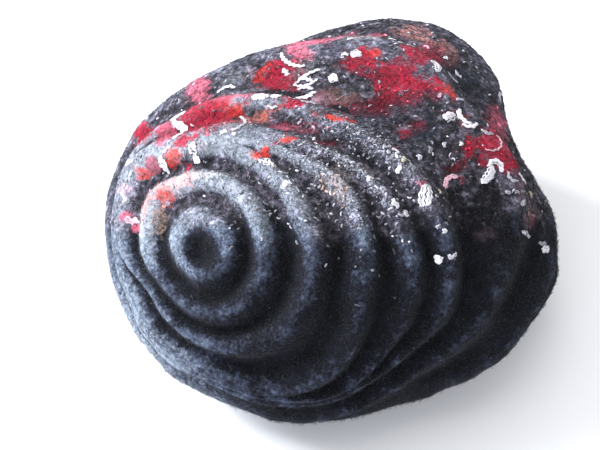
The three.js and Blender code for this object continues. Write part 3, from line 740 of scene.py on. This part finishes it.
FLEECE = {"white": "#f4f1f8", "pale": "#c4c1cc", "grey": "#8d8f9b", "rose": "#e2b4c2",
          "straw": "#cdc3aa"}
LOCKS = [  # around, angle (degrees), long (mm), heading, bend (degrees), wide (mm), tone
    (146, 32, 12, 102, 83, 5, "white"), (145, 29, 20, -150, -110, 5, "white"),
    (145, 27, 10, 109, -40, 3.2, "white"), (137, 23, 6, -104, 0, 6, "white"),
    (137, 21.2, 5, -94, 0, 5, "white"), (159, 24, 7, 170, 0, 5, "white"),
    (160, 23, 7, -158, 0, 3.8, "pale"), (178, 23, 6, -160, 0, 4.4, "white"),
    (198, 26, 7, 166, 0, 3.8, "rose"), (175, 32, 10, -135, 0, 3.2, "pale"),
    (114, 35, 11, -79, -101, 5, "white"), (110, 36, 6, -86, 0, 5, "white"),
    (119, 45, 9, -124, 0, 3, "pale"), (111, 44, 14, -96, -18, 2.5, "white"),
    (109, 42, 12, -68, -105, 3, "pale"), (107, 40, 12, -50, 80, 3, "white"),
    (103, 38, 6, -75, 0, 3, "pale"),
    (153, 25, 9, 100, 0, 2, "rose"), (175, 32, 10, -130, -40, 3, "pale"),
    (116, 29, 25, -167, -185, 2.2, "pale"), (121, 26, 5, -77, 0, 2.5, "white"),
    (116, 26, 3, -90, 0, 2.5, "white"), (134, 40, 16, -75, -140, 2.5, "white"),
    (115, 35, 9, -46, -20, 4.5, "white"), (110, 36, 5, -90, 0, 4, "white"),
    (108, 34, 8, -74, 95, 2, "pale"), (120, 48, 30, -118, 90, 3, "white"),
    (112, 45, 20, -23, -48, 2, "white"), (110, 43, 18, -50, 120, 2, "white"),
    (106, 41, 8, -26, 0, 2.5, "white"), (107, 39, 9, -16, 30, 2, "pale"),
    (102, 39, 6, -97, 0, 2, "pale"), (106, 53, 7, -44, 0, 5.5, "white"),
    (108, 52, 5, -66, 0, 4, "pale"), (105, 46, 6, -40, 0, 5.5, "white"),
    (106, 63, 8, -145, 0, 4, "white"), (111, 57, 4, -54, 0, 2, "white"),
    (103, 62, 4, -20, 0, 1.6, "pale"), (102, 64, 6, -42, 0, 1.6, "pale"),
    (101, 68, 5, -72, 0, 2, "rose"), (112, 62, 13, -76, -160, 2, "pale"),
    (94, 63, 13, -100, -185, 4, "white"), (97, 70, 4, -54, 0, 3, "white"),
    (92, 68, 13, -50, 118, 2.5, "pale"), (93, 71, 8, -80, 100, 2, "pale"),
    (87, 59, 5, 25, 0, 2, "rose"), (85, 63, 7, -9, 0, 2.2, "pale"),
    (81, 60, 17, -100, 150, 3, "white"), (79, 60, 13, 175, -130, 3.2, "white"),
    (82, 57, 10, 8, -10, 5.5, "white"), (77, 63, 9, -43, 127, 2.5, "pale"),
    (80, 42, 8, -21, 264, 2, "pale"), (78, 43, 10, -57, -290, 2, "white"),
    (78, 42, 3, -41, 0, 2.5, "pale"), (76, 43, 3, -30, 0, 2.5, "white"),
    (75, 44, 3, -31, 0, 4, "straw"), (72, 43, 5, -105, 0, 2.5, "white"),
    (72, 45, 9, -80, -127, 2.5, "grey"), (76, 47, 5, -68, 0, 2.5, "pale"),
    (77, 49, 6, -102, 0, 2, "grey"), (77, 52, 4, -117, 0, 2.5, "pale"),
    (76, 55, 3, -113, 0, 2.5, "white"), (63, 47, 15, -95, 30, 7, "white"),
    (68, 52, 15, 48, -198, 3, "rose"), (65, 50, 4, -78, 0, 1.6, "straw"),
    (69, 38, 4, -108, 0, 3, "white"), (65, 40, 5, -3, -115, 2.5, "pale"),
    (60, 40, 6, -85, 0, 2.5, "grey"), (60, 42, 7, -52, 14, 4, "white"),
    (57, 44, 5, -41, 0, 3, "white"), (56, 43, 4, 12, 0, 2, "pale"),
    (70, 61, 19, -23, -252, 3, "white"), (68, 59, 15, -126, -79, 5, "white"),
    (67, 64, 13, -49, 158, 2.2, "pale"), (67, 68, 16, -20, 150, 2.5, "white"),
    (64, 65, 4, 2, 0, 2, "pale"), (64, 63, 4, 14, 0, 2, "pale"),
    (62, 67, 4, -66, 0, 4.5, "pale"), (67, 70, 8, 26, 0, 2.5, "grey"),
    (65, 73, 5, -77, 0, 3, "straw"), (56, 69, 8, -2, 54, 2, "white"),
    (56, 72, 10, -19, 71, 2, "pale"), (55, 78, 7, 10, 0, 2, "pale"),
    (54, 79, 7, 25, 0, 4.5, "white"), (53, 51, 3, -68, 0, 2.5, "white"),
    (45, 52, 6, -50, 82, 4, "white"), (47, 54, 8, 29, 157, 2.5, "white"),
    (92, 34, 2, -46, 0, 2, "white"), (95, 24, 8, -103, -13, 4.5, "white"),
    (80, 23, 4, -81, 0, 4.5, "white"), (176, 33, 6, 51, 0, 3, "pale"),
    (178, 23, 5, -157, 0, 4, "pale"), (189, 29, 11, 135, -226, 3, "pale"),
    (197, 25, 5, -172, 0, 3, "rose"), (74, 63, 24, 23, 163, 1.6, "rose"),
    # carried on over the far side
    (146, 66, 22, 60, -200, 3.5, "white"), (135, 72, 12, -30, 90, 3, "pale"),
    (124, 86, 18, 120, 180, 4, "white"), (110, 80, 10, 10, -120, 2.5, "pale"),
    (118, 98, 20, -60, -160, 3, "white"), (98, 86, 9, 80, 0, 5, "white"),
    (88, 82, 14, -130, 140, 3, "pale"), (86, 98, 16, 30, -190, 3.5, "white"),
    (74, 84, 12, -20, 110, 3, "white"), (158, 68, 14, 140, -150, 3, "white"),
    (64, 92, 10, 60, 60, 3, "pale"), (102, 112, 12, 0, 150, 3, "pale")]
STRAND_STEPS, STRAND_SIDES = 16, 4
STRAND_THICK, STRAND_APART = 0.9, 0.45       # mm
CRIMP_LONG, CRIMP_REACH = 4.0, 0.5           # mm
LOCK_LIFT, LOCK_SWELL = 0.3, 0.08            # mm, and a share of the lock's width


def laid_curve(around, angle, long, heading, bend, steps):
    """A curve of the given length whose heading turns evenly through bend degrees, laid flat on
    the plain cap about its middle. Heading 0 runs away from the dimple and 90 round it. Returns
    the millimetres away from the dimple and round it at each step, the heading there in radians,
    and how many millimetres a degree is in either direction."""
    s = (np.arange(steps) + 0.5) / steps - 0.5
    turn = np.radians(heading[:, None] + bend[:, None] * s)
    x, y = (np.cumsum(f(turn), axis=1) * long[:, None] / steps for f in (np.cos, np.sin))
    x, y = x - x.mean(1, keepdims=True), y - y.mean(1, keepdims=True)
    mm_away = np.linalg.norm(cap_point(from_dimple(angle + 1, around))
                             - cap_point(from_dimple(angle - 1, around)), axis=-1) / 2
    mm_round = np.linalg.norm(cap_point(from_dimple(angle, around + 1))
                              - cap_point(from_dimple(angle, around - 1)), axis=-1) / 2
    return x, y, turn, mm_away[:, None], mm_round[:, None]


def strand_paths(around, angle, x, y, mm_away, mm_round, lift):
    """Takes flat places x away from the dimple and y round it onto the folded felt."""
    a = (angle[:, None] + x / mm_away).clip(0.5)
    t = around[:, None] + y / mm_round
    out = cap_axes(a, t)[2]
    return felt_points(a, t) + out * lift[..., None], out


random = np.random.default_rng(23)
fleece = fibre_material("washed_curly_fleece", {"Roughness": 0.55, "Specular IOR Level": 0.4,
                                                "Sheen Weight": 0.3, "Sheen Roughness": 0.4})
strands = np.array([max(2, round(lock[5] / STRAND_APART)) for lock in LOCKS])
which = np.repeat(np.arange(len(LOCKS)), strands)
slot_in_lock = np.arange(len(which)) - np.repeat(np.cumsum(strands) - strands, strands)
place_across = slot_in_lock / (strands[which] - 1) * 2 - 1 + random.normal(0, 0.35, len(which))
table = np.array([lock[:6] for lock in LOCKS], float)[which]
around, angle, long, heading, bend, wide = table.T
x, y, turn, mm_away, mm_round = laid_curve(around, angle, long, heading, bend, STRAND_STEPS)
# The strands of a lock gather at both ends and share one crimp, but for a small shift of each.
s = np.linspace(0, 1, STRAND_STEPS)
gather = np.sin(np.pi * (0.12 + 0.76 * s)) ** 0.7
wave = random.random(len(LOCKS))[which, None] + random.normal(0, 0.12, (len(which), 1))
crimp = CRIMP_REACH * np.sin(2 * np.pi * (s * long[:, None] / CRIMP_LONG + wave))
half_wide = (wide[:, None] / 2 - STRAND_THICK / 2).clip(0.2)
across = half_wide * place_across[:, None] * gather + crimp
x, y = x - across * np.sin(turn), y + across * np.cos(turn)
dome = np.sqrt((1 - 0.9 * place_across[:, None] ** 2).clip(0))
lift = (LOCK_LIFT + LOCK_SWELL * wide[:, None] * dome) * gather
paths, outs = strand_paths(around, angle, x, y, mm_away, mm_round, lift)
# The second of two draws a strand gives its thickness.
stoutness = random.uniform(0.8, 1.15, (2, len(which), 1))[1]
radii = STRAND_THICK / 2 * (0.45 + 0.55 * gather) * stoutness
points, faces = tubes(paths, radii, outs, STRAND_SIDES)
locks = make_object("white_locks", into_box(points), faces)
tones = np.array([colour(FLEECE[LOCKS[i][6]])[:3] for i in which])
give_tones(locks, tones * random.uniform(0.5, 0.95, (len(which), 1)))
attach(locks, "root")
locks.data.materials.append(fleece)


# The small curls
# Between the locks the same fleece is worked in as short single curls, in greys as well as white.
# They lie thickest on the folds above the dimple and to its right.

CURLS, CURL_STEPS, CURL_SIDES = 1700, 8, 4
CURL_LONG, CURL_THICK, CURL_LIFT = (1.2, 4.5), (0.7, 1.6), 0.1   # mm
CURL_BEND = (40, 260)            # degrees
CURL_TONES = ["grey", "grey", "grey", "pale", "pale", "white"]
CURL_TRIES = 14                  # spots tried for each curl, of which the thick places keep more

row, column = spots_on(CURL_TRIES * CURLS)[:2]
here = row * COLUMNS + column
around, angle = flat_around[here], flat_angle[here]
# The far half has a few curls all over, and most lie where they are thickest.
wanted = 0.1 * worked[here] ** 2 + thickly[here]
kept = np.nonzero(random.random(len(here)) < wanted)[0][:CURLS]
around, angle, here = around[kept], angle[kept], here[kept]
long, thick = random.uniform(*CURL_LONG, len(kept)), random.uniform(*CURL_THICK, len(kept))
heading = random.uniform(0, 360, len(kept))
bend = random.choice([-1, 1], len(kept)) * random.uniform(*CURL_BEND, len(kept))
x, y, turn, mm_away, mm_round = laid_curve(around, angle, long, heading, bend, CURL_STEPS)
s = np.linspace(0, 1, CURL_STEPS)
swell = np.sin(np.pi * (0.1 + 0.8 * s)) ** 0.6
lift = CURL_LIFT * swell + 0 * x
paths, outs = strand_paths(around, angle, x, y, mm_away, mm_round, lift)
points, faces = tubes(paths, thick[:, None] / 2 * swell, outs, CURL_SIDES)
curls = make_object("small_curls", into_box(points), faces)
kind = random.integers(0, len(CURL_TONES), len(kept))
tones = np.array([colour(FLEECE[CURL_TONES[i]])[:3] for i in kind])
tones = tones * random.uniform(0.2, 1, (len(kept), 1)) ** 1.5
dyed = random.random(len(kept)) < tuft_cover[here] * 0.7
tones = np.where(dyed[:, None], tuft_colour[here] * 1.3, tones)
give_tones(curls, tones.clip(0, 1))
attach(curls, "root")
curls.data.materials.append(fleece)


# Floor, light and camera
# The hat lies on its rim on a white floor. A broad lamp stands at the left like a window, with a
# weaker one overhead and one low in front, and the camera looks down at the dimple side.

floor = make_object("floor", np.array([[-3, -3, 0], [3, -3, 0], [3, 3, 0], [-3, 3, 0]], float),
                    [np.array([[0, 1, 2, 3]])])
paper = bpy.data.materials.new("white_paper")
paper.use_nodes = True
paper.node_tree.nodes["Principled BSDF"].inputs["Base Color"].default_value = colour("#f4f4f4")
paper.node_tree.nodes["Principled BSDF"].inputs["Roughness"].default_value = 0.9
floor.data.materials.append(paper)


def aim_at(thing, place, target):
    """Puts a lamp or camera at place with its -Z axis toward target and its X axis level."""
    back = unit(np.subtract(place, target).astype(float))
    right = unit(np.cross([0, 0, 1], back))
    up = np.cross(back, right)
    rows = [[right[i], up[i], back[i], place[i]] for i in range(3)]
    thing.matrix_world = Matrix(rows + [[0, 0, 0, 1]])


def add_lamp(name, place, target, width, watts, tint):
    """A square area lamp."""
    data = bpy.data.lights.new(name, "AREA")
    data.shape, data.size, data.energy, data.color = "SQUARE", width, watts, colour(tint)[:3]
    lamp = bpy.data.objects.new(name, data)
    bpy.context.scene.collection.objects.link(lamp)
    aim_at(lamp, place, target)


add_lamp("window", (-1.3, 0.5, 1.0), (0, 0, 0.08), 0.8, 76, "#f3f7ff")
add_lamp("ceiling", (-0.2, 0.4, 1.8), (0, 0, 0), 1.6, 14, "#ffffff")
add_lamp("low_fill", (-0.9, -1.3, 0.3), (0, 0, 0.05), 0.8, 20, "#e6ebff")

world = bpy.data.worlds.new("room")
bpy.context.scene.world = world
world.use_nodes = True
world.node_tree.nodes["Background"].inputs["Color"].default_value = colour("#f4f6fa")
world.node_tree.nodes["Background"].inputs["Strength"].default_value = 0.8
bpy.context.scene.view_settings.view_transform = "Standard"

camera = bpy.data.objects.new("camera", bpy.data.cameras.new("camera"))
bpy.context.scene.collection.objects.link(camera)
camera.data.sensor_width, camera.data.lens = 36.0, 72.96   # mm
AIM = np.array([-0.020, -0.0201, 0.0831])
TILT, AWAY = math.radians(55), 0.76   # above level, and metres from the point that it aims at
aim_at(camera, AIM + AWAY * np.array([0, -math.cos(TILT), math.sin(TILT)]), AIM)
bpy.context.scene.camera = camera
